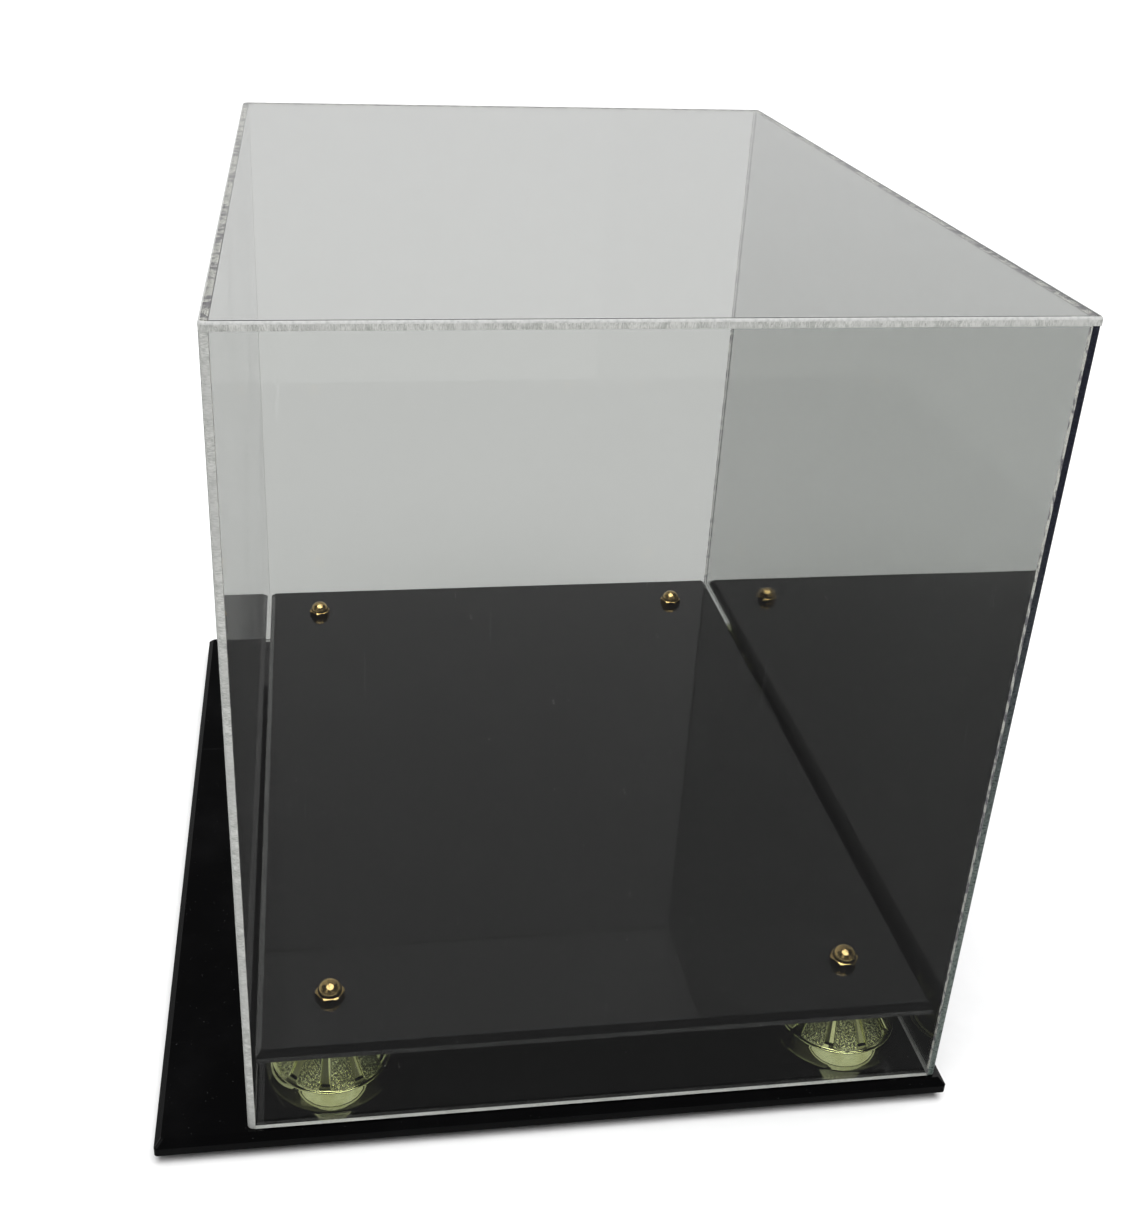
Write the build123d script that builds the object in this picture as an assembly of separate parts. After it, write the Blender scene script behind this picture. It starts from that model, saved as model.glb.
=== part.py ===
from build123d import *
import os

# A tabletop display case: a clear five-panel acrylic cover with a mirrored back stands on a black
# bevelled base plate, round a raised black deck that is bolted down on four gold fluted risers.
# Millimetres. +Z is up, the front faces -Y, the mirror is at +Y and the long way is X.
# The origin is under the middle of the base plate, at the level of the feet's undersides.

# Clear cover, outside sizes
COVER_LENGTH = 398.0
COVER_DEPTH = 292.0
COVER_HEIGHT = 338.0
SHEET = 3.2
MIRROR_COAT = 0.3
COVER_CORNER_RADIUS = 2.4

# Base plate, with a wide ledge in front of the cover and narrow ones on the other sides
BASE_THICKNESS = 6.35
BASE_BEVEL = 2.8
BASE_CORNER_RADIUS = 1.5
FRONT_LEDGE = 37.0
BACK_LEDGE = 4.0
SIDE_LEDGE = 4.0

# Raised deck
DECK_THICKNESS = 4.76
DECK_BEVEL = 2.4
DECK_CORNER_RADIUS = 1.0
DECK_CLEARANCE = 1.3
DECK_HOLE_INSET = 30.0

# Fluted riser, a hollow moulding round a central boss
RISER_HEIGHT = 32.5
RISER_FOOT_RADIUS = 27.5
RISER_RIM_RADIUS = 25.5
RISER_RIM_HEIGHT = 8.3
RISER_LIP = 1.0
RISER_TOP_RADIUS = 8.0
RISER_WALL = 2.4
RISER_BOSS_RADIUS = 6.0
RISER_ROOF = 4.5
FLUTE_COUNT = 10
FLUTE_ARC = 9.5
FLUTE_DEPTH = 1.1
FLUTE_END_HEIGHT = 1.6

# 1/4 inch fasteners
SCREW_RADIUS = 3.1
SCREW_LENGTH = 47.6
SCREW_HEAD_RADIUS = 7.0
SCREW_HEAD_HEIGHT = 3.0
SCREW_HEAD_RIM = 0.8
RECESS_LENGTH = 6.4
RECESS_WIDTH = 1.3
RECESS_DEPTH = 1.8
HOLE_RADIUS = 3.4
NUT_ACROSS_FLATS = 11.1
NUT_HEX_HEIGHT = 2.6
NUT_CORNER_CHAMFER = 0.9
NUT_DOME_RADIUS = 4.8
NUT_BORE_RADIUS = 3.15
NUT_BORE_DEPTH = 5.4

# Rubber feet
FOOT_HEIGHT = 4.8
FOOT_TOP_RADIUS = 6.35
FOOT_BOTTOM_RADIUS = 5.6
FOOT_EDGE_RADIUS = 0.8
FOOT_INSET = 24.0

# Levels and places worked out from the sizes above
BASE_TOP = FOOT_HEIGHT + BASE_THICKNESS
DECK_BOTTOM = BASE_TOP + RISER_HEIGHT
DECK_TOP = DECK_BOTTOM + DECK_THICKNESS
WALL_TOP = BASE_TOP + COVER_HEIGHT - SHEET
BASE_LENGTH = COVER_LENGTH + 2 * SIDE_LEDGE
BASE_DEPTH = COVER_DEPTH + FRONT_LEDGE + BACK_LEDGE
COVER_FRONT = -BASE_DEPTH / 2 + FRONT_LEDGE
COVER_BACK = COVER_FRONT + COVER_DEPTH
MIRROR_FRONT = COVER_BACK - MIRROR_COAT - SHEET
DECK_HALF_LENGTH = COVER_LENGTH / 2 - SHEET - DECK_CLEARANCE
DECK_FRONT = COVER_FRONT + SHEET + DECK_CLEARANCE
DECK_BACK = MIRROR_FRONT - DECK_CLEARANCE

# Corner name, which way it lies from the middle, and how far its riser and nut happen to be turned
CORNERS = {
    "front_left": (-1, -1, 11.0, 14.0),
    "front_right": (1, -1, -7.2, 2.0),
    "back_left": (-1, 1, -21.0, -9.0),
    "back_right": (1, 1, 10.4, -3.0),
}


def bolt_centre(side, end):
    """Plan position of the bolt at a corner of the deck."""
    x = side * (DECK_HALF_LENGTH - DECK_HOLE_INSET)
    y = DECK_BACK - DECK_HOLE_INSET if end > 0 else DECK_FRONT + DECK_HOLE_INSET
    return x, y


BOLTS = [bolt_centre(side, end) for side, end, _, _ in CORNERS.values()]


def block(x_range, y_range, z_range):
    """Rectangular block between two limits along each axis."""
    corner = (x_range[0], y_range[0], z_range[0])
    size = [high - low for low, high in (x_range, y_range, z_range)]
    return Pos(*corner) * Box(*size, align=(Align.MIN, Align.MIN, Align.MIN))


def turned(points):
    """Solid turned about Z from a closed outline of (radius, height) points."""
    outline = Polyline(*[(radius, 0, height) for radius, height in points], close=True)
    return revolve(make_face(outline), axis=Axis.Z)


def bevelled_plate(x_range, y_range, z_range, bevel, corner_radius):
    """Plate with rounded plan corners, a 45 degree bevel round its top and the four bolt holes."""
    plate = block(x_range, y_range, z_range)
    plate = chamfer(plate.faces().sort_by(Axis.Z)[-1].edges(), bevel)
    level = plate.edges().filter_by(lambda edge: abs(edge.tangent_at(0).Z) < 0.01)
    plate = fillet(plate.edges() - level, corner_radius)
    middle = (z_range[0] + z_range[1]) / 2
    for x, y in BOLTS:
        plate -= Pos(x, y, middle) * Cylinder(HOLE_RADIUS, 2 * (z_range[1] - z_range[0]))
    return plate


def base_plate():
    half_length = BASE_LENGTH / 2
    half_depth = BASE_DEPTH / 2
    return bevelled_plate(
        (-half_length, half_length),
        (-half_depth, half_depth),
        (FOOT_HEIGHT, BASE_TOP),
        BASE_BEVEL,
        BASE_CORNER_RADIUS,
    )


def deck():
    return bevelled_plate(
        (-DECK_HALF_LENGTH, DECK_HALF_LENGTH),
        (DECK_FRONT, DECK_BACK),
        (DECK_BOTTOM, DECK_TOP),
        DECK_BEVEL,
        DECK_CORNER_RADIUS,
    )


def cone_radius(height):
    """Outer radius of the riser's fluted cone at a height above the base plate."""
    rise = (height - RISER_RIM_HEIGHT) / (RISER_HEIGHT - RISER_RIM_HEIGHT)
    lowest = RISER_RIM_RADIUS - RISER_LIP
    return lowest + (RISER_TOP_RADIUS - lowest) * rise


def flute_cutter():
    """Wedge that leaves one smooth sunken channel down the cone, ending just above the rim."""
    low = RISER_RIM_HEIGHT + FLUTE_END_HEIGHT
    high = RISER_HEIGHT + 1
    outline = Polyline(
        (cone_radius(low) - FLUTE_DEPTH, 0, low),
        (cone_radius(low) + RISER_WALL, 0, low),
        (cone_radius(high) + RISER_WALL, 0, high),
        (cone_radius(high) - FLUTE_DEPTH, 0, high),
        close=True,
    )
    wedge = revolve(make_face(outline), axis=Axis.Z, revolution_arc=FLUTE_ARC)
    return Rot(0, 0, -FLUTE_ARC / 2) * wedge


def riser():
    """Gold riser: flared polished skirt, small lip, then a fluted cone up to the deck."""
    lip_side = RISER_RIM_HEIGHT - RISER_LIP * 0.7
    body = turned([
        (HOLE_RADIUS, 0),
        (RISER_FOOT_RADIUS, 0),
        (RISER_RIM_RADIUS, lip_side),
        (RISER_RIM_RADIUS - RISER_LIP * 0.4, RISER_RIM_HEIGHT),
        (RISER_RIM_RADIUS - RISER_LIP, RISER_RIM_HEIGHT),
        (RISER_TOP_RADIUS, RISER_HEIGHT),
        (HOLE_RADIUS, RISER_HEIGHT),
    ])
    ceiling = RISER_HEIGHT - RISER_ROOF
    inner = RISER_WALL + FLUTE_DEPTH
    cavity = turned([
        (RISER_BOSS_RADIUS, -1),
        (RISER_FOOT_RADIUS - RISER_WALL, -1),
        (RISER_FOOT_RADIUS - RISER_WALL, 0),
        (RISER_RIM_RADIUS - RISER_WALL, lip_side - RISER_LIP),
        (cone_radius(RISER_RIM_HEIGHT) - inner, RISER_RIM_HEIGHT),
        (cone_radius(ceiling) - inner, ceiling),
        (RISER_BOSS_RADIUS, ceiling),
    ])
    body -= cavity
    for turn in range(FLUTE_COUNT):
        body -= Rot(0, 0, turn * 360 / FLUTE_COUNT) * flute_cutter()
    return body


def screw():
    """Truss-head machine screw with a cross recess, head down, shank up from z = 0."""
    crown_height = SCREW_HEAD_HEIGHT - SCREW_HEAD_RIM
    crown = (SCREW_HEAD_RADIUS**2 + crown_height**2) / (2 * crown_height)
    dome = Pos(0, 0, crown - SCREW_HEAD_HEIGHT) * Sphere(crown)
    disc = Pos(0, 0, -SCREW_HEAD_HEIGHT / 2) * Cylinder(SCREW_HEAD_RADIUS, SCREW_HEAD_HEIGHT)
    head = dome & disc
    for turn in (0, 90):
        slot = Box(RECESS_LENGTH, RECESS_WIDTH, 2 * RECESS_DEPTH)
        head -= Pos(0, 0, -SCREW_HEAD_HEIGHT) * Rot(0, 0, turn) * slot
    shank = Pos(0, 0, SCREW_LENGTH / 2) * Cylinder(SCREW_RADIUS, SCREW_LENGTH)
    tip = shank.edges().sort_by(Axis.Z)[-1]
    return head + chamfer(tip, 0.6)


def acorn_nut():
    """Low domed cap nut: a thin hexagon with its upper corners turned off under a half ball."""
    hexagon = extrude(
        RegularPolygon(NUT_ACROSS_FLATS / 2, 6, major_radius=False), NUT_HEX_HEIGHT
    )
    corner_radius = NUT_ACROSS_FLATS / 3**0.5
    turning = turned([
        (0, 0),
        (corner_radius, 0),
        (corner_radius, NUT_HEX_HEIGHT - NUT_CORNER_CHAMFER),
        (corner_radius - NUT_CORNER_CHAMFER * 1.4, NUT_HEX_HEIGHT),
        (0, NUT_HEX_HEIGHT),
    ])
    ball = Pos(0, 0, NUT_HEX_HEIGHT) * Sphere(NUT_DOME_RADIUS)
    dome = split(ball, bisect_by=Plane.XY.offset(NUT_HEX_HEIGHT), keep=Keep.TOP)
    bore = Pos(0, 0, NUT_BORE_DEPTH / 2) * Cylinder(NUT_BORE_RADIUS, NUT_BORE_DEPTH)
    return (hexagon & turning) + dome - bore


def foot():
    """Tapered round rubber foot with a softened lower edge, standing on z = 0."""
    pad = turned([
        (0, 0),
        (FOOT_BOTTOM_RADIUS, 0),
        (FOOT_TOP_RADIUS, FOOT_HEIGHT),
        (0, FOOT_HEIGHT),
    ])
    return fillet(pad.edges().sort_by(Axis.Z)[0], FOOT_EDGE_RADIUS)


def rounded_outside(panel, y):
    """Panel with its two upright edges at depth y rounded."""
    edges = panel.edges().filter_by(Axis.Z).filter_by(lambda edge: abs(edge.center().Y - y) < 0.01)
    return fillet(edges, COVER_CORNER_RADIUS)


def cover_panels():
    """The five clear panels, butted and cemented, and the mirror's dark back coat."""
    half = COVER_LENGTH / 2
    upright = (BASE_TOP, WALL_TOP)
    mirror_back = MIRROR_FRONT + SHEET
    front = block((-half, half), (COVER_FRONT, COVER_FRONT + SHEET), upright)
    mirror = block((-half, half), (MIRROR_FRONT, mirror_back), upright)
    side_depth = (COVER_FRONT + SHEET, MIRROR_FRONT)
    roof = block((-half, half), (COVER_FRONT, COVER_BACK), (WALL_TOP, WALL_TOP + SHEET))
    coat_half = half - COVER_CORNER_RADIUS
    return {
        "cover_front_panel": rounded_outside(front, COVER_FRONT),
        "cover_mirror_panel": rounded_outside(mirror, mirror_back),
        "cover_left_panel": block((-half, SHEET - half), side_depth, upright),
        "cover_right_panel": block((half - SHEET, half), side_depth, upright),
        "cover_top_panel": fillet(roof.edges().filter_by(Axis.Z), COVER_CORNER_RADIUS),
        "mirror_back_coat": block((-coat_half, coat_half), (mirror_back, COVER_BACK), upright),
    }


def corner_parts():
    """Riser, screw, nut and foot of each corner, standing where they are used."""
    parts = {}
    for corner, (side, end, riser_turn, nut_turn) in CORNERS.items():
        x, y = bolt_centre(side, end)
        foot_x = side * (BASE_LENGTH / 2 - FOOT_INSET)
        foot_y = end * (BASE_DEPTH / 2 - FOOT_INSET)
        parts["riser_" + corner] = Pos(x, y, BASE_TOP) * Rot(0, 0, riser_turn) * riser()
        parts["screw_" + corner] = Pos(x, y, FOOT_HEIGHT) * Rot(0, 0, nut_turn) * screw()
        parts["acorn_nut_" + corner] = Pos(x, y, DECK_TOP) * Rot(0, 0, nut_turn) * acorn_nut()
        parts["foot_" + corner] = Pos(foot_x, foot_y, 0) * foot()
    return parts


os.makedirs("parts", exist_ok=True)
nodes = {"base_plate": base_plate(), "deck": deck(), **cover_panels(), **corner_parts()}
for name, shape in nodes.items():
    export_step(shape, "parts/" + name + ".step")
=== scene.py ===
import bmesh
import bpy
import math
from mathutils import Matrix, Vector


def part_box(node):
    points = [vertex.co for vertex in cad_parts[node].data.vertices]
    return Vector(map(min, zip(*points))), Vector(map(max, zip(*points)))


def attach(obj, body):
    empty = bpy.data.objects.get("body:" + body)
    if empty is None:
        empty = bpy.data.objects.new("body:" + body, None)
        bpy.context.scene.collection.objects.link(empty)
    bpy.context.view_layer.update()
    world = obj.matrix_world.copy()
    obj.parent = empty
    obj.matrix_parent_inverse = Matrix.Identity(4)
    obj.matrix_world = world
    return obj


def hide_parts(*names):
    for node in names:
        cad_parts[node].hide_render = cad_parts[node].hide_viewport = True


# Looks of the mirrored display case: clear sawn-edge acrylic panels round a mirrored back, a black
# polished base plate and deck, gold fluted risers, brass cap nuts, zinc screws and rubber feet.
# Metres, in the frame's own axes: +Z up, the front faces -Y and the mirror is at +Y.

MM = 0.001

# Cover panels. The corner radii run front left, front right, back right, back left. The arrises are the
# rounded edges round the top and the foot. The clear shell stands off the frame's sheets by a hair, at
# its foot and round its walls, and leaves room for the silvered film behind the mirror sheet.
CORNER_RADII = (3.1 * MM, 2.4 * MM, 1.2 * MM, 2.4 * MM)
TOP_ARRIS = 1.1 * MM
ARRIS = 0.3 * MM
FILM = 0.2 * MM
SEAT_GAP = 0.05 * MM
SIDE_GAP = 0.02 * MM
WALL_OVERLAP = 1.5 * MM
BROAD_FACE = 0.0015

# Cement in the joints, and how far it and the film stay in from the sheets' edges
CEMENT = 0.05 * MM
JOINT_MARGIN = 0.35 * MM
CEMENT_INSET = 0.06 * MM
FILM_LEFT_INSET = 2.45 * MM
FILM_RIGHT_INSET = 1.3 * MM

# Riser, as in the frame: foot, rim, fluted cone and boss. Arcs are in degrees round its axis.
RIM_RADIUS = 25.5 * MM
RIM_HEIGHT = 8.3 * MM
RIM_LIP = 1.0 * MM
CONE_TOP_RADIUS = 8.0 * MM
RISER_WALL = 2.4 * MM
BOSS_RADIUS = 6.0 * MM
BOLT_HOLE_RADIUS = 3.4 * MM
RISER_ROOF = 4.5 * MM
FLUTES = 10
FLUTE_HALF_ARC = 4.75
FLUTE_WALL_ARC = 0.22
FLUTE_DEPTH = 1.1 * MM
FLUTE_HOLLOW = 0.2
FLUTE_END = 1.6 * MM
PANEL_CROWN = 0.25 * MM
BEAD_ARC = 1.3
BEAD_RISE = 0.28 * MM
RISER_TURNS = {"front_left": 11.0, "front_right": -7.2, "back_left": -21.0, "back_right": 10.4}
CONE_LEVELS = 14

# Cap nut
NUT_FLAT = 5.55 * MM
NUT_CORNER = 6.3 * MM
NUT_HEX_HEIGHT = 2.6 * MM
NUT_CHAMFER = 0.7 * MM
DOME_RADIUS = 5.15 * MM
NUT_TURNS = {"front_left": 14.0, "front_right": 2.0, "back_left": -9.0, "back_right": -3.0}
NUT_COLUMNS = 96
DOME_RINGS = 18

# Camera
CAMERA_PLACE = (0.6228, -0.0951, 0.4815)
CAMERA_TURN = (63.944, -2.039, 82.420)
CAMERA_LENS = 42.08
CAMERA_SHIFT = (0.0453, -0.0565)

# Studio: the sun's strength, width in degrees and direction, and the world seen directly
SUN_ENERGY = 3.7
SUN_WIDTH = 60
SUN_FROM = (0.16, 0.05, 1.0)
SKY_LEVEL = 1.1

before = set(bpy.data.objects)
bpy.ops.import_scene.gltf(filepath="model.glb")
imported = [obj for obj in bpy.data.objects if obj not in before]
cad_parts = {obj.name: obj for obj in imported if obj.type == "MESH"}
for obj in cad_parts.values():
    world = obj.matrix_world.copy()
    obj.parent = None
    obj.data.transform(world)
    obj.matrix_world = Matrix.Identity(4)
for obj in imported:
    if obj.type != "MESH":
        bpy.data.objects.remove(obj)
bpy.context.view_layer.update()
scene = bpy.context.scene


# Node helpers

class Nodes:
    """A node tree, with short calls for the nodes that the materials and the world here share."""

    def __init__(self, tree):
        self.tree = tree

    def add(self, kind, **settings):
        node = self.tree.nodes.new("ShaderNode" + kind)
        for key, value in settings.items():
            setattr(node, key, value)
        return node

    def link(self, source, target):
        self.tree.links.new(source, target)

    def put(self, socket, value):
        if isinstance(value, bpy.types.NodeSocket):
            self.link(value, socket)
        else:
            socket.default_value = value

    def place(self, kind="Object", scale=(1, 1, 1)):
        """Where on the piece, from that layer of UVs or a texture coordinate, times the scale."""
        if kind in ("sheet", "edge"):
            where = self.add("UVMap", uv_map=kind).outputs["UV"]
        else:
            where = self.add("TexCoord").outputs[kind]
        mapping = self.add("Mapping")
        mapping.inputs["Scale"].default_value = scale
        self.link(where, mapping.inputs["Vector"])
        return mapping.outputs["Vector"]

    def noise(self, where, scale, detail=2.0, roughness=0.5):
        node = self.add("TexNoise")
        self.link(where, node.inputs["Vector"])
        node.inputs["Scale"].default_value = scale
        node.inputs["Detail"].default_value = detail
        node.inputs["Roughness"].default_value = roughness
        return node.outputs["Fac"]

    def cells(self, where, scale):
        """Distance to the nearest cell centre."""
        node = self.add("TexVoronoi")
        self.link(where, node.inputs["Vector"])
        node.inputs["Scale"].default_value = scale
        return node.outputs["Distance"]

    def math(self, operation, a, b):
        node = self.add("Math", operation=operation)
        self.put(node.inputs[0], a)
        self.put(node.inputs[1], b)
        return node.outputs[0]

    def span(self, value, low, high, to_low=0.0, to_high=1.0):
        node = self.add("MapRange", interpolation_type="SMOOTHSTEP")
        self.put(node.inputs["Value"], value)
        node.inputs["From Min"].default_value = low
        node.inputs["From Max"].default_value = high
        node.inputs["To Min"].default_value = to_low
        node.inputs["To Max"].default_value = to_high
        return node.outputs["Result"]

    def blend(self, factor, a, b):
        node = self.add("Mix", data_type="RGBA")
        self.put(node.inputs[0], factor)
        for socket, colour in ((node.inputs[6], a), (node.inputs[7], b)):
            self.put(socket, (*colour, 1.0) if isinstance(colour, tuple) else colour)
        return node.outputs[2]

    def bump(self, height, distance, strength=1.0):
        node = self.add("Bump")
        node.inputs["Distance"].default_value = distance
        node.inputs["Strength"].default_value = strength
        self.link(height, node.inputs["Height"])
        return node.outputs["Normal"]

    def specks(self, where, scale, share):
        """Irregular specks of dust: the peaks of a fine noise, thinned out by a coarse one."""
        fine = self.noise(where, scale, 1.0)
        thin = self.noise(where, scale * 0.13, 2.0)
        return self.math(
            "MULTIPLY", self.span(fine, 0.8 - share, 0.84 - share), self.span(thin, 0.5, 0.62)
        )

    def hairlines(self, kind, turn, scale, share):
        """Long thin scratches, all lying at that turn about Z, as in handled polished sheet."""
        where = self.place(kind)
        mapping = self.add("Mapping")
        mapping.inputs["Rotation"].default_value = (0, 0, math.radians(turn))
        mapping.inputs["Scale"].default_value = (scale, scale * 0.02, scale)
        self.link(where, mapping.inputs["Vector"])
        return self.span(self.noise(mapping.outputs["Vector"], 1.0, 1.0), 1 - share, 1 - share * 0.6)


class Material(Nodes):
    """A new material: its node tree, its principled shader and its output."""

    def __init__(self, name):
        self.material = bpy.data.materials.new(name)
        self.material.use_nodes = True
        super().__init__(self.material.node_tree)
        self.shader = self.tree.nodes["Principled BSDF"]
        self.output = self.tree.nodes["Material Output"]

    def set(self, **values):
        for key, value in values.items():
            self.put(self.shader.inputs[key.replace("_", " ")], value)

    def mix(self, factor, a, b):
        """Shader between a and b, or only b where the factor is 1."""
        node = self.add("MixShader")
        self.link(factor, node.inputs[0])
        self.link(a, node.inputs[1])
        self.link(b, node.inputs[2])
        return node.outputs[0]

    def plain(self, kind, colour):
        """A diffuse or transparent shader of one colour."""
        node = self.add("Bsdf" + kind)
        node.inputs["Color"].default_value = (*colour, 1)
        return node.outputs[0]


# Materials

def clear_acrylic():
    """Clear polished sheet with a faint grey cast, hairline scratches and a little dust."""
    n = Material("clear_acrylic")
    where = n.place("sheet")
    scratches = n.math(
        "MAXIMUM", n.hairlines("sheet", 24, 900, 0.27), n.hairlines("sheet", -61, 700, 0.26)
    )
    n.set(Base_Color=(0.86, 0.865, 0.855, 1), Transmission_Weight=1.0, IOR=1.49)
    n.set(Roughness=n.math("MULTIPLY", scratches, 0.1))
    n.set(Normal=n.bump(n.noise(where, 9.0, 1.0), 0.02 * MM))
    dust = n.math("MULTIPLY", n.specks(where, 900, 0.03), 0.3)
    dusty = n.mix(dust, n.shader.outputs[0], n.plain("Diffuse", (0.6, 0.6, 0.58)))
    let_light(n, dusty, (0.93, 0.935, 0.93))
    return n.material


def let_light(n, shader, tint):
    """Lamps and scattered light pass straight through the sheet, tinted, as through a thin wall."""
    path = n.add("LightPath")
    passing = n.math("MAXIMUM", path.outputs["Is Shadow Ray"], path.outputs["Is Diffuse Ray"])
    n.link(n.mix(passing, shader, n.plain("Transparent", tint)), n.output.inputs["Surface"])


def sawn_edge():
    """Sawn and sanded sheet edge: frosted, with fine marks across it and a few chips."""
    n = Material("sawn_edge")
    fine = n.noise(n.place("edge", (1.0, 0.25, 1.0)), 2200, 3.0, 0.65)
    coarse = n.noise(n.place("edge", (1.0, 0.2, 1.0)), 380, 2.0)
    patches = n.noise(n.place("edge"), 30, 3.0)
    marks = n.math("ADD", n.math("MULTIPLY", fine, 0.65), n.math("MULTIPLY", coarse, 0.35))
    tone = n.blend(n.span(marks, 0.36, 0.62), (0.33, 0.34, 0.32), (0.62, 0.625, 0.6))
    tone = n.blend(n.math("MULTIPLY", n.span(patches, 0.42, 0.66), 0.6), tone, (0.47, 0.475, 0.46))
    chips = n.specks(n.place("edge", (1.0, 0.6, 1.0)), 1500, 0.14)
    n.set(Base_Color=n.blend(n.math("MULTIPLY", chips, 0.6), tone, (0.13, 0.135, 0.12)))
    n.set(Roughness=n.span(marks, 0.3, 0.7, 0.3, 0.55), IOR=1.49)
    n.set(Normal=n.bump(marks, 0.08 * MM, 0.8))
    return n.material


def buffed_edge():
    """Top edge rounded over and buffed: satin, with swirl marks and tiny nicks."""
    n = Material("buffed_edge")
    swirl = n.noise(n.place("Object"), 700, 3.0, 0.6)
    nicks = n.specks(n.place("Object"), 1700, 0.1)
    tone = n.blend(n.span(swirl, 0.35, 0.65), (0.5, 0.505, 0.495), (0.6, 0.6, 0.59))
    n.set(Base_Color=n.blend(n.math("MULTIPLY", nicks, 0.5), tone, (0.3, 0.3, 0.3)))
    n.set(Roughness=n.span(swirl, 0.3, 0.7, 0.25, 0.4), IOR=1.49)
    n.set(Normal=n.bump(swirl, 0.03 * MM, 0.6))
    return n.material


def mirror_edge(low, high):
    """Sawn edge of the mirror sheet, with a painted reflection: dark navy towards the top and paler
    grey-green lower down, standing in for the dark room and the bright floor that the edge mirrors.
    """
    n = Material("mirror_edge")
    apart = n.add("SeparateXYZ")
    n.link(n.place("Object"), apart.inputs[0])
    # Painted reflection: the colour fades from dark at the top to pale at the bottom, by height alone.
    painted_reflection_fade = n.span(apart.outputs["Z"], high - 0.06, low + 0.06)
    marks = n.noise(n.place("edge", (1.0, 0.4, 1.0)), 1500, 3.0, 0.65)
    upper = n.blend(n.span(marks, 0.5, 0.75), (0.008, 0.009, 0.018), (0.035, 0.04, 0.06))
    lower = n.blend(n.span(marks, 0.38, 0.66), (0.05, 0.068, 0.062), (0.2, 0.235, 0.215))
    n.set(Base_Color=n.blend(painted_reflection_fade, upper, lower))
    n.set(Roughness=n.span(marks, 0.3, 0.7, 0.22, 0.5), IOR=1.49)
    n.set(Normal=n.bump(marks, 0.06 * MM, 0.7))
    return n.material


def cemented_joint(name, clear_share):
    """Solvent cement between two sheets: pale bubbles and dry spots in a film that is else clear."""
    n = Material(name)
    where = n.place("sheet")
    bubbles = n.noise(where, 2400, 3.0, 0.7)
    dry = n.noise(where, 240, 3.0)
    n.set(Base_Color=n.blend(n.span(dry, 0.45, 0.6), (0.88, 0.88, 0.82), (0.2, 0.19, 0.22)))
    n.set(Roughness=n.span(bubbles, 0.4, 0.7, 0.2, 0.5), IOR=1.49)
    n.set(Normal=n.bump(bubbles, 0.1 * MM))
    pale = n.span(bubbles, clear_share, clear_share + 0.12)
    clear = n.plain("Transparent", (0.95, 0.95, 0.93))
    n.link(n.mix(pale, clear, n.shader.outputs[0]), n.output.inputs["Surface"])
    return n.material


def silver_film():
    """Vacuum silvering on the back of the mirror sheet, very slightly wavy."""
    n = Material("silver_film")
    where = n.place("sheet")
    n.set(Base_Color=(0.86, 0.87, 0.875, 1), Metallic=1.0)
    n.set(Roughness=n.span(n.noise(where, 60, 3.0), 0.4, 0.8, 0.005, 0.03))
    n.set(Normal=n.bump(n.noise(where, 14, 1.0), 0.03 * MM))
    return n.material


def back_coat():
    """Dark blue-grey protective paint on the back of the mirror, with brush haze and scuffs."""
    n = Material("back_coat")
    where = n.place("Object")
    haze = n.noise(n.place("Object", (1, 1, 0.4)), 45, 4.0, 0.6)
    scuffs = n.math(
        "MAXIMUM", n.hairlines("Object", 35, 500, 0.3), n.specks(where, 300, 0.08)
    )
    tone = n.blend(n.span(haze, 0.3, 0.75), (0.036, 0.038, 0.05), (0.044, 0.046, 0.059))
    n.set(Base_Color=n.blend(n.math("MULTIPLY", scuffs, 0.5), tone, (0.16, 0.16, 0.17)))
    n.set(Roughness=n.span(haze, 0.3, 0.7, 0.38, 0.6))
    n.set(Normal=n.bump(n.noise(where, 1400, 2.0), 0.03 * MM, 0.5))
    return n.material


def black_acrylic():
    """Polished black sheet with wiping haze, dust and a few fine scratches."""
    n = Material("black_acrylic")
    where = n.place("Object")
    haze = n.noise(where, 22, 4.0, 0.6)
    scratches = n.math(
        "MAXIMUM", n.hairlines("Object", 17, 800, 0.28), n.hairlines("Object", 100, 640, 0.27)
    )
    dust = n.math("MAXIMUM", n.specks(where, 1300, 0.05), n.specks(where, 520, 0.02))
    tone = n.blend(n.span(haze, 0.4, 0.8), (0.0005, 0.0005, 0.0006), (0.0018, 0.0018, 0.002))
    n.set(Base_Color=n.blend(n.math("MULTIPLY", dust, 0.35), tone, (0.12, 0.12, 0.12)))
    smears = n.span(n.noise(n.place("Object", (1.0, 0.6, 1.0)), 75, 3.0, 0.55), 0.68, 0.74)
    dull = n.math("MAXIMUM", dust, n.math("MULTIPLY", smears, 0.12))
    rough = n.math("ADD", n.span(haze, 0.35, 0.8, 0.02, 0.07), n.math("MULTIPLY", scratches, 0.12))
    n.set(Roughness=n.math("ADD", rough, n.math("MULTIPLY", dull, 0.4)), IOR=1.49)
    n.set(Normal=n.bump(n.noise(where, 8, 1.0), 0.02 * MM))
    return n.material


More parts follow.
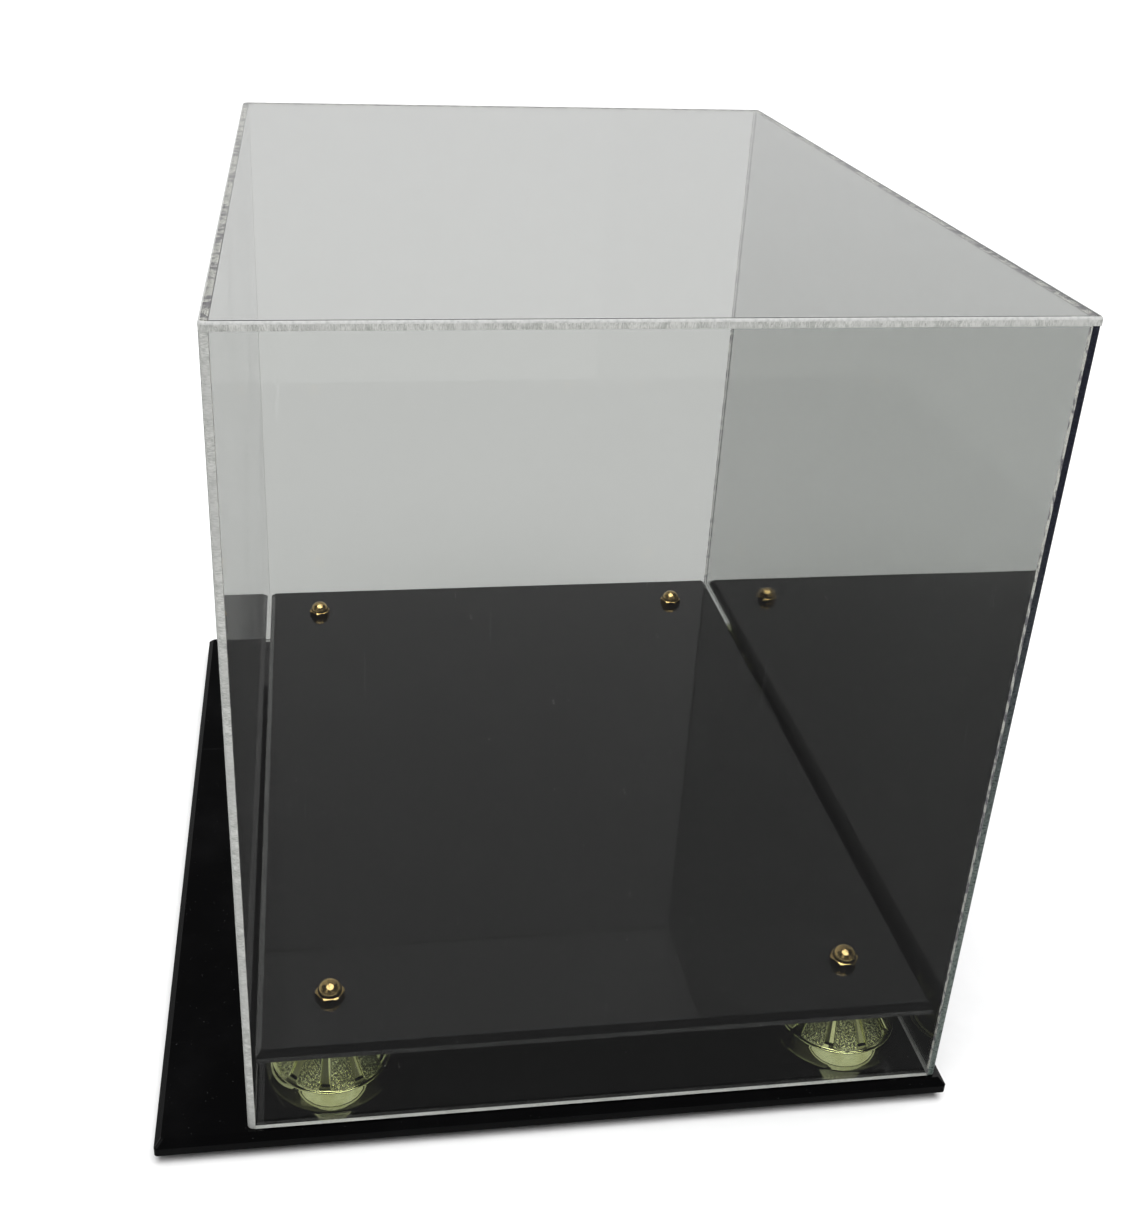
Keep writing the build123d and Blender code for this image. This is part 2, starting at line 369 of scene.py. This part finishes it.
def gold_moulding():
    """Vacuum-metallised gold plastic: stippled, pitted panels between polished flutes, the pits darkened
    with painted shade.
    """
    n = Material("gold_moulding")
    where = n.place("Object")
    stipple = n.add("Attribute", attribute_name="stipple").outputs["Fac"]
    grain = n.cells(where, 1700)
    grain = n.math("ADD", grain, n.math("MULTIPLY", n.noise(where, 2600, 2.0), 0.7))
    patches = n.noise(where, 110, 3.0)
    tone = n.blend(n.span(patches, 0.35, 0.7), (0.74, 0.79, 0.42), (0.62, 0.65, 0.3))
    # Painted shade: dark specks in the stippled panels stand for the shade inside their pits.
    shaded_pits = n.math("MULTIPLY", stipple, n.span(n.noise(where, 1400, 3.0, 0.7), 0.43, 0.57))
    n.set(Base_Color=n.blend(n.math("MULTIPLY", shaded_pits, 0.85), tone, (0.08, 0.09, 0.045)))
    rough = n.math("ADD", n.math("MULTIPLY", stipple, 0.06), n.span(patches, 0.3, 0.8, 0.01, 0.03))
    n.set(Metallic=1.0, Roughness=rough)
    n.set(Normal=n.bump(n.math("MULTIPLY", grain, stipple), 0.3 * MM))
    return n.material


def polished_brass():
    """Polished brass, a little tarnished, with turning marks too fine to feel."""
    n = Material("polished_brass")
    where = n.place("Object")
    tarnish = n.noise(where, 420, 4.0, 0.6)
    n.set(Base_Color=n.blend(n.span(tarnish, 0.4, 0.75), (0.5, 0.37, 0.16), (0.3, 0.21, 0.09)))
    n.set(Metallic=1.0, Roughness=n.span(tarnish, 0.3, 0.8, 0.08, 0.24))
    marks = n.noise(n.place("Object", (0.1, 0.1, 1.0)), 9000, 2.0)
    n.set(Normal=n.bump(marks, 0.01 * MM, 0.5))
    return n.material


def zinc_steel():
    """Zinc-plated steel, pale and slightly mottled."""
    n = Material("zinc_steel")
    where = n.place("Object")
    mottle = n.cells(where, 700)
    n.set(Base_Color=n.blend(n.span(mottle, 0.1, 0.8), (0.62, 0.63, 0.66), (0.5, 0.51, 0.53)))
    n.set(Metallic=1.0, Roughness=n.span(mottle, 0.1, 0.8, 0.24, 0.38))
    n.set(Normal=n.bump(n.noise(where, 5000, 2.0), 0.01 * MM, 0.5))
    return n.material


def rubber():
    """Matte black rubber with moulding grain and a trace of dust."""
    n = Material("rubber")
    where = n.place("Object")
    dust = n.noise(where, 900, 4.0, 0.7)
    n.set(Base_Color=n.blend(n.span(dust, 0.55, 0.8), (0.018, 0.018, 0.018), (0.07, 0.07, 0.068)))
    n.set(Roughness=n.span(dust, 0.3, 0.8, 0.6, 0.9))
    n.set(Normal=n.bump(n.noise(where, 3500, 3.0), 0.03 * MM, 0.6))
    return n.material


def studio_paper():
    """Pale paper floor, with painted shade: it reads dark grey in reflections and mid grey through the
    case, as a dim room round it would.
    """
    n = Material("studio_paper")
    grain = n.noise(n.place("Object"), 60, 3.0)
    n.set(Base_Color=n.blend(n.span(grain, 0.3, 0.7), (0.93, 0.93, 0.93), (0.95, 0.95, 0.95)))
    n.set(Roughness=0.9)
    # Painted shade by light path: a dark grey where the floor is seen mirrored, a mid grey where it is seen
    # through the case.
    path = n.add("LightPath")
    outside = n.math("LESS_THAN", path.outputs["Transmission Depth"], 2.5)
    mirrored = n.math("GREATER_THAN", path.outputs["Glossy Depth"], 0.5)
    behind = n.math("GREATER_THAN", path.outputs["Transmission Depth"], 3.5)
    through = n.mix(behind, n.shader.outputs[0], n.plain("Diffuse", (0.56, 0.565, 0.56)))
    reflected = n.math("MULTIPLY", outside, mirrored)
    surface = n.mix(reflected, through, n.plain("Diffuse", (0.1, 0.1, 0.1)))
    n.link(surface, n.output.inputs["Surface"])
    return n.material


# Mesh helpers

def finished(name, mesh, body, nodes):
    """Links a finished mesh as the piece that stands for those CAD nodes."""
    piece = bpy.data.objects.new(name, mesh)
    scene.collection.objects.link(piece)
    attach(piece, body)
    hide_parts(*nodes)
    return piece


def smooth_mesh(name, work, sharp_angle=35):
    """Turns a bmesh into a mesh that is smooth except at edges sharper than the angle."""
    bmesh.ops.recalc_face_normals(work, faces=work.faces)
    mesh = bpy.data.meshes.new(name)
    work.to_mesh(mesh)
    work.free()
    mesh.shade_smooth()
    mesh.set_sharp_from_angle(angle=math.radians(sharp_angle))
    return mesh


def turned_grid(rows, closed=False):
    """Skin over rows of points. A row is a ring, or a single point at a pole. A closed skin goes on from
    its last row to its first."""
    work = bmesh.new()
    rings = [[work.verts.new(p) for p in row] for row in rows]
    if closed:
        rings.append(rings[0])
    columns = max(len(ring) for ring in rings)
    for lower, upper in zip(rings, rings[1:]):
        for i in range(columns):
            j = (i + 1) % columns
            corners = [lower[i % len(lower)], lower[j % len(lower)]]
            corners += [upper[j % len(upper)], upper[i % len(upper)]]
            unique = list(dict.fromkeys(corners))
            if len(unique) > 2:
                work.faces.new(unique)
    return work


# Cover

def plan_loop(low, high, radii, marks=()):
    """Rectangle in plan, each corner rounded by its own radius: front left, front right, back right,
    back left. The right and left sides also get a point at each y in marks."""
    loop = []
    corners = ((low.x, low.y, 180), (high.x, low.y, 270), (high.x, high.y, 0), (low.x, high.y, 90))
    for number, ((x, y, start), radius) in enumerate(zip(corners, radii)):
        if not radius:
            loop.append((x, y))
            continue
        inward_x = radius if x == low.x else -radius
        inward_y = radius if y == low.y else -radius
        for k in range(9):
            way = math.radians(start + 90 * k / 8)
            loop.append((x + inward_x + radius * math.cos(way), y + inward_y + radius * math.sin(way)))
        if number == 1:
            loop += [(high.x, mark) for mark in sorted(marks)]
        if number == 3:
            loop += [(low.x, mark) for mark in sorted(marks, reverse=True)]
    return loop


def prism(name, loop, bottom, top, low_arris=0.0, high_arris=0.0):
    """Upright prism over a plan loop, its bottom and top edges rounded by those sizes."""
    work = bmesh.new()
    foot = work.faces.new([work.verts.new((x, y, bottom)) for x, y in loop])
    walls = bmesh.ops.extrude_face_region(work, geom=[foot])["geom"]
    lid = [g for g in walls if isinstance(g, bmesh.types.BMFace)][0]
    for v in lid.verts:
        v.co.z = top
    for arris, z, segments in ((low_arris, bottom, 2), (high_arris, top, 4)):
        if arris:
            rim = [e for e in work.edges if all(abs(v.co.z - z) < 1e-7 for v in e.verts)]
            bmesh.ops.bevel(work, geom=rim, offset=arris, segments=segments, profile=0.5, affect="EDGES")
    bmesh.ops.recalc_face_normals(work, faces=work.faces)
    mesh = bpy.data.meshes.new(name)
    work.to_mesh(mesh)
    work.free()
    piece = bpy.data.objects.new(name, mesh)
    scene.collection.objects.link(piece)
    return piece


def combine(piece, other, operation):
    """Boolean of two objects into the first one's mesh; the other goes."""
    modifier = piece.modifiers.new("combine", "BOOLEAN")
    modifier.operation = operation
    modifier.solver = "EXACT"
    modifier.object = other
    evaluated = piece.evaluated_get(bpy.context.evaluated_depsgraph_get())
    mesh = bpy.data.meshes.new_from_object(evaluated)
    piece.modifiers.clear()
    old = piece.data
    piece.data = mesh
    bpy.data.meshes.remove(old)
    bpy.data.objects.remove(other)


def sheet_coordinates(work):
    """UVs in metres: x or y along, z up; on level faces x and y."""
    layer = work.loops.layers.uv.new("sheet")
    for face in work.faces:
        n = face.normal
        first, second = (1, 2) if abs(n.x) > abs(n.y) else (0, 2)
        if abs(n.z) > 0.7:
            first, second = 0, 1
        for loop in face.loops:
            loop[layer].uv = (loop.vert.co[first], loop.vert.co[second])


def edge_coordinates(work):
    """UVs in metres for sheet edges: along the edge first, across it second."""
    layer = work.loops.layers.uv.new("edge")
    for face in work.faces:
        first, second = along_edge(face)
        for loop in face.loops:
            loop[layer].uv = (loop.vert.co[first], loop.vert.co[second])


def along_edge(face):
    """Axes along and across a sheet edge at that face."""
    n = face.normal
    centre = face.calc_center_median()
    if centre.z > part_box("cover_top_panel")[0].z:
        return (1, 2) if abs(n.x) > abs(n.y) else (0, 2)
    if abs(n.z) > 0.5:
        on_side_wall = abs(centre.x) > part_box("cover_right_panel")[0].x - 0.1 * MM
        return (1, 0) if on_side_wall else (0, 1)
    return (2, 1) if abs(n.x) > abs(n.y) else (2, 0)


def edge_slot(face, roof, inner_front, inner_back, outside):
    """0 clear, 1 sawn edge, 2 the mirror sheet's dark edge, 3 the buffed edge round the top."""
    n, c = face.normal, face.calc_center_median()
    if c.z > roof:
        if c.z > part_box("cover_top_panel")[1].z - TOP_ARRIS and abs(n.z) < 0.97:
            return 3
        return 1 if abs(n.z) < 0.97 else 0
    if c.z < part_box("cover_front_panel")[0].z + JOINT_MARGIN and n.z < -0.3:
        return 1
    if abs(c.x) < outside - max(CORNER_RADII) or abs(n.x) < 0.35:
        return 0
    if c.y < inner_front:
        return 1
    return 2 if c.y > inner_back and abs(c.x) > outside - 2.5 * MM else 0


def clear_shell(materials):
    """The five cemented sheets as one clear body, with their sawn edges where those show."""
    top_low, top_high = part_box("cover_top_panel")
    front_low, front_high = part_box("cover_front_panel")
    mirror_low, mirror_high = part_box("cover_mirror_panel")
    thickness = front_high.y - front_low.y
    outer_low = Vector((front_low.x + SIDE_GAP, front_low.y + SIDE_GAP, front_low.z + SEAT_GAP))
    outer_high = Vector((front_high.x - SIDE_GAP, mirror_high.y - FILM, top_low.z))
    outer = plan_loop(outer_low, outer_high, CORNER_RADII, (front_high.y, mirror_low.y))
    shell = prism("clear_shell", outer, outer_low.z, top_low.z + WALL_OVERLAP, low_arris=ARRIS)
    over = plan_loop(top_low, top_high, CORNER_RADII)
    slab = prism("slab", over, top_low.z, top_high.z, high_arris=TOP_ARRIS)
    combine(shell, slab, "UNION")
    room_low = Vector((front_low.x + thickness, front_high.y, 0))
    room_high = Vector((front_high.x - thickness, mirror_low.y, 0))
    room = prism("room", plan_loop(room_low, room_high, (0,) * 4), front_low.z - 0.01, top_low.z)
    combine(shell, room, "DIFFERENCE")
    for material in materials:
        shell.data.materials.append(material)
    work = bmesh.new()
    work.from_mesh(shell.data)
    bmesh.ops.remove_doubles(work, verts=work.verts, dist=1e-6)
    work.normal_update()
    for face in work.faces:
        face.material_index = edge_slot(face, top_low.z, front_high.y, mirror_low.y, front_high.x)
    sheet_coordinates(work)
    edge_coordinates(work)
    work.to_mesh(shell.data)
    work.free()
    shell.data.shade_smooth()
    shell.data.set_sharp_from_angle(angle=math.radians(30))
    for face in shell.data.polygons:
        face.use_smooth = face.area < BROAD_FACE
    return shell


def strip(name, low, high, body, nodes, material):
    """Thin sheet between two corners, its edges very slightly rounded."""
    work = bmesh.new()
    bmesh.ops.create_cube(work, size=1.0)
    for v in work.verts:
        v.co = [(low[i] + high[i]) / 2 + v.co[i] * (high[i] - low[i]) for i in range(3)]
    small = min(high[i] - low[i] for i in range(3)) * 0.2
    bmesh.ops.bevel(work, geom=work.edges[:], offset=small, segments=1, affect="EDGES")
    sheet_coordinates(work)
    mesh = smooth_mesh(name, work, 20)
    mesh.materials.append(material)
    for face in mesh.polygons:
        face.use_smooth = False
    return finished(name, mesh, body, nodes)


def build_cover():
    """The clear shell, with the mirror's silvered film and the cement inside it."""
    mirror_low, mirror_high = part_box("cover_mirror_panel")
    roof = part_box("cover_top_panel")[0].z
    dark = mirror_edge(mirror_low.z, mirror_high.z)
    shell = clear_shell((clear_acrylic(), sawn_edge(), dark, buffed_edge()))
    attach(shell, "cover")
    panels = [f"cover_{side}_panel" for side in ("top", "front", "left", "right", "mirror")]
    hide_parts(*panels)
    strip(
        "mirror_film",
        (mirror_low.x + FILM_LEFT_INSET, mirror_high.y - FILM + 0.03 * MM, mirror_low.z + JOINT_MARGIN),
        (mirror_high.x - FILM_RIGHT_INSET, mirror_high.y - 0.02 * MM, roof - JOINT_MARGIN),
        "cover", ["cover_mirror_panel"], silver_film(),
    )
    cement_joints(roof)


def cement_joints(roof):
    """The cement in the joints: both ends of the side sheets, and the tops of all four walls."""
    bubbly, faint = cemented_joint("bubbly_cement", 0.38), cemented_joint("faint_cement", 0.47)

    def cement(name, side, low, high, material):
        strip(name, low, high, "cover", [f"cover_{side}_panel"], material)

    for side in ("left", "right"):
        low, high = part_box(f"cover_{side}_panel")
        left, right = low.x + CEMENT_INSET, high.x - CEMENT_INSET
        foot, head = low.z + JOINT_MARGIN, roof - 0.1 * MM
        for end, y, material in (("back", high.y, bubbly), ("front", low.y, faint)):
            near, far = (left, y - CEMENT, foot), (right, y + CEMENT, head)
            cement(f"{side}_{end}_cement", side, near, far, material)
        near, far = (left, low.y + 0.1 * MM, roof - CEMENT), (right, high.y - 0.1 * MM, roof + CEMENT)
        cement(f"{side}_roof_cement", side, near, far, faint)
    for side in ("front", "mirror"):
        low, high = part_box(f"cover_{side}_panel")
        near = (low.x + 1.6 * MM, low.y + 0.25 * MM, roof - CEMENT)
        far = (high.x - 1.4 * MM, high.y - 0.25 * MM, roof + CEMENT)
        cement(f"{side}_roof_cement", side, near, far, faint)


# Risers

def smooth_step(value, low, high):
    """0 below low, 1 above high and a smooth turn between."""
    t = min(max((value - low) / (high - low), 0.0), 1.0)
    return t * t * (3 - 2 * t)


def flute_angles():
    """Angles round the riser in degrees, close together at the flutes' walls."""
    half = FLUTE_HALF_ARC
    lip = half + FLUTE_WALL_ARC
    side = [0.0, 1.6, 3.0, half - 0.5, half - FLUTE_WALL_ARC, half, lip]
    side += [lip + BEAD_ARC * share for share in (0.25, 0.5, 0.75, 1.0)] + [7.5, 10.0, 14.0]
    pitch = 360 / FLUTES
    offsets = [-a for a in reversed(side[1:])] + side + [pitch / 2]
    return [k * pitch + a for k in range(FLUTES) for a in offsets]


def cone_radius(height, riser_height):
    """Outer radius of the cone at a height above the foot."""
    lowest = RIM_RADIUS - RIM_LIP
    rise = (height - RIM_HEIGHT) / (riser_height - RIM_HEIGHT)
    return lowest + (CONE_TOP_RADIUS - lowest) * rise


def riser_profile(foot_radius, height):
    """(radius, height, share of flute) from the foot's outer edge up, over and down the inside."""
    lip_side = RIM_HEIGHT - RIM_LIP * 0.7
    outline = [(foot_radius - 0.3 * MM, 0.0, 0), (foot_radius, 0.3 * MM, 0)]
    for i in range(1, 8):
        t = i / 8
        outline.append((foot_radius + (RIM_RADIUS - foot_radius) * t, lip_side * t, 0))
    outline.append((RIM_RADIUS, lip_side, 0))
    outline.append((RIM_RADIUS - RIM_LIP * 0.1, lip_side + RIM_LIP * 0.45, 0))
    outline.append((RIM_RADIUS - RIM_LIP * 0.4, RIM_HEIGHT, 0))
    outline.append((RIM_RADIUS - RIM_LIP * 0.75, RIM_HEIGHT + 0.03 * MM, 0))
    end = RIM_HEIGHT + FLUTE_END
    levels = [RIM_HEIGHT + 0.2 * MM, end - 0.5 * MM, end - 0.12 * MM, end + 0.12 * MM, end + 0.5 * MM]
    levels += [end + (height - end) * k / CONE_LEVELS for k in range(1, CONE_LEVELS + 1)]
    for z in levels:
        share = smooth_step(z, end - 0.13 * MM, end + 0.13 * MM)
        outline.append((cone_radius(z, height), z, share))
    ceiling = height - RISER_ROOF
    inner = RISER_WALL + FLUTE_DEPTH
    outline += [
        (BOLT_HOLE_RADIUS, height, 0),
        (BOLT_HOLE_RADIUS, 0.0, 0),
        (BOSS_RADIUS, 0.0, 0),
        (BOSS_RADIUS, ceiling, 0),
        (cone_radius(ceiling, height) - inner, ceiling, 0),
        (cone_radius(RIM_HEIGHT, height) - inner, RIM_HEIGHT, 0),
        (RIM_RADIUS - RISER_WALL, lip_side - RIM_LIP, 0),
        (foot_radius - RISER_WALL, 0.0, 0),
    ]
    return outline


def riser_point(radius, z, share, angle):
    """Radius at that angle, with the flute, its beads and the panels' crown; and how far it is stippled."""
    pitch = 360 / FLUTES
    off = abs((angle + pitch / 2) % pitch - pitch / 2)
    sunk = 1 - smooth_step(off, FLUTE_HALF_ARC - FLUTE_WALL_ARC, FLUTE_HALF_ARC + FLUTE_WALL_ARC)
    hollow = 1 + FLUTE_HOLLOW * (1 - min(off / FLUTE_HALF_ARC, 1) ** 2)
    across = (off - FLUTE_HALF_ARC) / (pitch / 2 - FLUTE_HALF_ARC)
    on_cone = 1.0 if z > RIM_HEIGHT + 0.1 * MM and radius > CONE_TOP_RADIUS - MM else 0.0
    crown = PANEL_CROWN * (1 - (1 - across) ** 2) * (1 - sunk) * on_cone
    rise = min(max((off - FLUTE_HALF_ARC - FLUTE_WALL_ARC) / BEAD_ARC, 0.0), 1.0)
    bead = BEAD_RISE * math.sin(math.pi * rise) * share * on_cone
    stippled = on_cone * (1 - sunk) * smooth_step(z, RIM_HEIGHT + 0.2 * MM, RIM_HEIGHT + 0.7 * MM)
    stippled *= smooth_step(rise, 0.7, 1.0)
    return radius - FLUTE_DEPTH * hollow * sunk * share + crown + bead, stippled


def riser_mesh(name, centre, floor, foot_radius, height, turn):
    rows = []
    stipple = []
    for radius, z, share in riser_profile(foot_radius, height):
        row = []
        for angle in flute_angles():
            r, stippled = riser_point(radius, z, share, angle)
            way = math.radians(angle + turn)
            row.append((centre.x + r * math.cos(way), centre.y + r * math.sin(way), floor + z))
            stipple.append(stippled)
        rows.append(row)
    mesh = smooth_mesh(name, turned_grid(rows, closed=True), 40)
    layer = mesh.attributes.new("stipple", "FLOAT", "POINT")
    for i, value in enumerate(stipple):
        layer.data[i].value = value
    return mesh


def build_risers():
    gold = gold_moulding()
    for corner, turn in RISER_TURNS.items():
        node = "riser_" + corner
        low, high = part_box(node)
        name = "gold_riser_" + corner
        mesh = riser_mesh(name, (low + high) / 2, low.z, (high.x - low.x) / 2, high.z - low.z, turn)
        mesh.materials.append(gold)
        finished(name, mesh, "base", [node])


# Cap nuts

def hex_radius(angle):
    """Radius of the nut's six-sided outline, with its corners turned off."""
    off = ((angle + 30) % 60) - 30
    return min(NUT_FLAT / math.cos(math.radians(off)), NUT_CORNER)


def nut_mesh(name, centre, floor, height, turn):
    """Hexagon with a chamfer turned on its top, and the dome on that."""
    angles = [i * 360 / NUT_COLUMNS for i in range(NUT_COLUMNS)]
    rows = []
    for inset, z in ((0.15 * MM, 0.0), (0.0, 0.15 * MM), (0.0, NUT_HEX_HEIGHT - NUT_CHAMFER)):
        rows.append([(hex_radius(a) - inset, a, z) for a in angles])
    for k in range(1, 6):
        t = k / 5
        z = NUT_HEX_HEIGHT - NUT_CHAMFER * (1 - t)
        limit = NUT_CORNER - 1.5 * NUT_CHAMFER * t ** 1.4
        rows.append([(min(hex_radius(a), limit), a, z) for a in angles])
    rows.append([(DOME_RADIUS + 0.1 * MM, a, NUT_HEX_HEIGHT) for a in angles])
    for k in range(DOME_RINGS):
        lift = math.radians(90 * k / DOME_RINGS)
        z = NUT_HEX_HEIGHT + (height - NUT_HEX_HEIGHT) * math.sin(lift)
        rows.append([(DOME_RADIUS * math.cos(lift), a, z) for a in angles])
    placed = [[(centre.x, centre.y, floor)]]
    for row in rows:
        ring = []
        for r, a, z in row:
            way = math.radians(a + turn)
            ring.append((centre.x + r * math.cos(way), centre.y + r * math.sin(way), floor + z))
        placed.append(ring)
    placed.append([(centre.x, centre.y, floor + height)])
    return smooth_mesh(name, turned_grid(placed), 28)


def build_nuts():
    brass = polished_brass()
    for corner, turn in NUT_TURNS.items():
        node = "acorn_nut_" + corner
        low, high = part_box(node)
        name = "cap_nut_" + corner
        mesh = nut_mesh(name, (low + high) / 2, low.z, high.z - low.z, turn)
        mesh.materials.append(brass)
        finished(name, mesh, "base", [node])


# CAD nodes that keep their own shape

def dress(node, material):
    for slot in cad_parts[node].material_slots:
        slot.link = "OBJECT"
        slot.material = material


def dress_nodes():
    black, steel, soft = black_acrylic(), zinc_steel(), rubber()
    dress("base_plate", black)
    dress("deck", black)
    dress("mirror_back_coat", back_coat())
    for corner in RISER_TURNS:
        dress("screw_" + corner, steel)
        dress("foot_" + corner, soft)


# Studio

def build_floor():
    work = bmesh.new()
    bmesh.ops.create_grid(work, x_segments=2, y_segments=2, size=30)
    mesh = bpy.data.meshes.new("floor")
    work.to_mesh(mesh)
    work.free()
    mesh.materials.append(studio_paper())
    floor = bpy.data.objects.new("floor", mesh)
    scene.collection.objects.link(floor)


def build_lights():
    lamp = bpy.data.lights.new("overhead", "SUN")
    lamp.energy = SUN_ENERGY
    lamp.angle = math.radians(SUN_WIDTH)
    sun = bpy.data.objects.new("overhead", lamp)
    scene.collection.objects.link(sun)
    sun.rotation_euler = Vector(SUN_FROM).to_track_quat("Z", "Y").to_euler()
    sun.visible_glossy = False


def window(n, azimuth, height, left, right, low, high, level):
    """A soft-edged bright panel of the room, between two azimuths in degrees and two heights."""
    wide = n.math(
        "MULTIPLY",
        n.span(azimuth, math.radians(left), math.radians(left + 2.5)),
        n.span(azimuth, math.radians(right), math.radians(right - 2.5)),
    )
    tall = n.math("MULTIPLY", n.span(height, low, low + 0.05), n.span(height, high, high - 0.06))
    return n.math("MULTIPLY", n.math("MULTIPLY", wide, tall), level)


def build_world():
    """Pale where it is seen directly. In reflections it is a dim room with a few soft bright panels."""
    world = bpy.data.worlds.new("studio")
    scene.world = world
    world.use_nodes = True
    n = Nodes(world.node_tree)
    background = n.tree.nodes["Background"]
    way = n.add("SeparateXYZ")
    n.link(n.add("TexCoord").outputs["Generated"], way.inputs[0])
    x, y, z = way.outputs
    beyond = n.math("ARCTAN2", y, n.math("MULTIPLY", x, -1.0))
    near = n.math("ARCTAN2", y, x)
    ahead = n.span(x, 0.2, -0.4)
    low_level = n.math("ADD", n.math("MULTIPLY", ahead, 0.5), 0.12)
    low_band = n.math("MULTIPLY", n.span(z, 0.46, 0.3), low_level)
    panels = (
        window(n, beyond, z, -4.5, 60, 0.36, 0.86, 0.5),
        window(n, beyond, z, -60, -10, 0.36, 0.86, 0.5),
        window(n, near, z, -52, -24, 0.3, 0.85, 0.75),
        window(n, near, z, 24, 44, 0.2, 0.6, 0.25),
        window(n, beyond, z, -32, 4, 0.88, 0.93, 0.8),
    )
    room = n.math("ADD", low_band, 0.05)
    for panel in panels:
        room = n.math("ADD", room, panel)
    path = n.add("LightPath")
    direct = n.math(
        "LESS_THAN", n.math("ADD", path.outputs["Glossy Depth"], path.outputs["Diffuse Depth"]), 0.5
    )
    level = n.add("Mix", data_type="FLOAT")
    n.link(direct, level.inputs[0])
    n.link(room, level.inputs[2])
    level.inputs[3].default_value = SKY_LEVEL
    n.link(level.outputs[0], background.inputs["Strength"])
    background.inputs["Color"].default_value = (1.0, 1.0, 1.0, 1)


def build_camera():
    data = bpy.data.cameras.new("camera")
    data.lens = CAMERA_LENS
    data.sensor_fit = "AUTO"
    data.sensor_width = 36.0
    data.shift_x, data.shift_y = CAMERA_SHIFT
    data.clip_start = 0.01
    camera = bpy.data.objects.new("camera", data)
    camera.location = CAMERA_PLACE
    camera.rotation_euler = [math.radians(a) for a in CAMERA_TURN]
    scene.collection.objects.link(camera)
    scene.camera = camera


build_cover()
build_risers()
build_nuts()
dress_nodes()
build_floor()
build_lights()
build_world()
build_camera()
scene.view_settings.view_transform = "Standard"
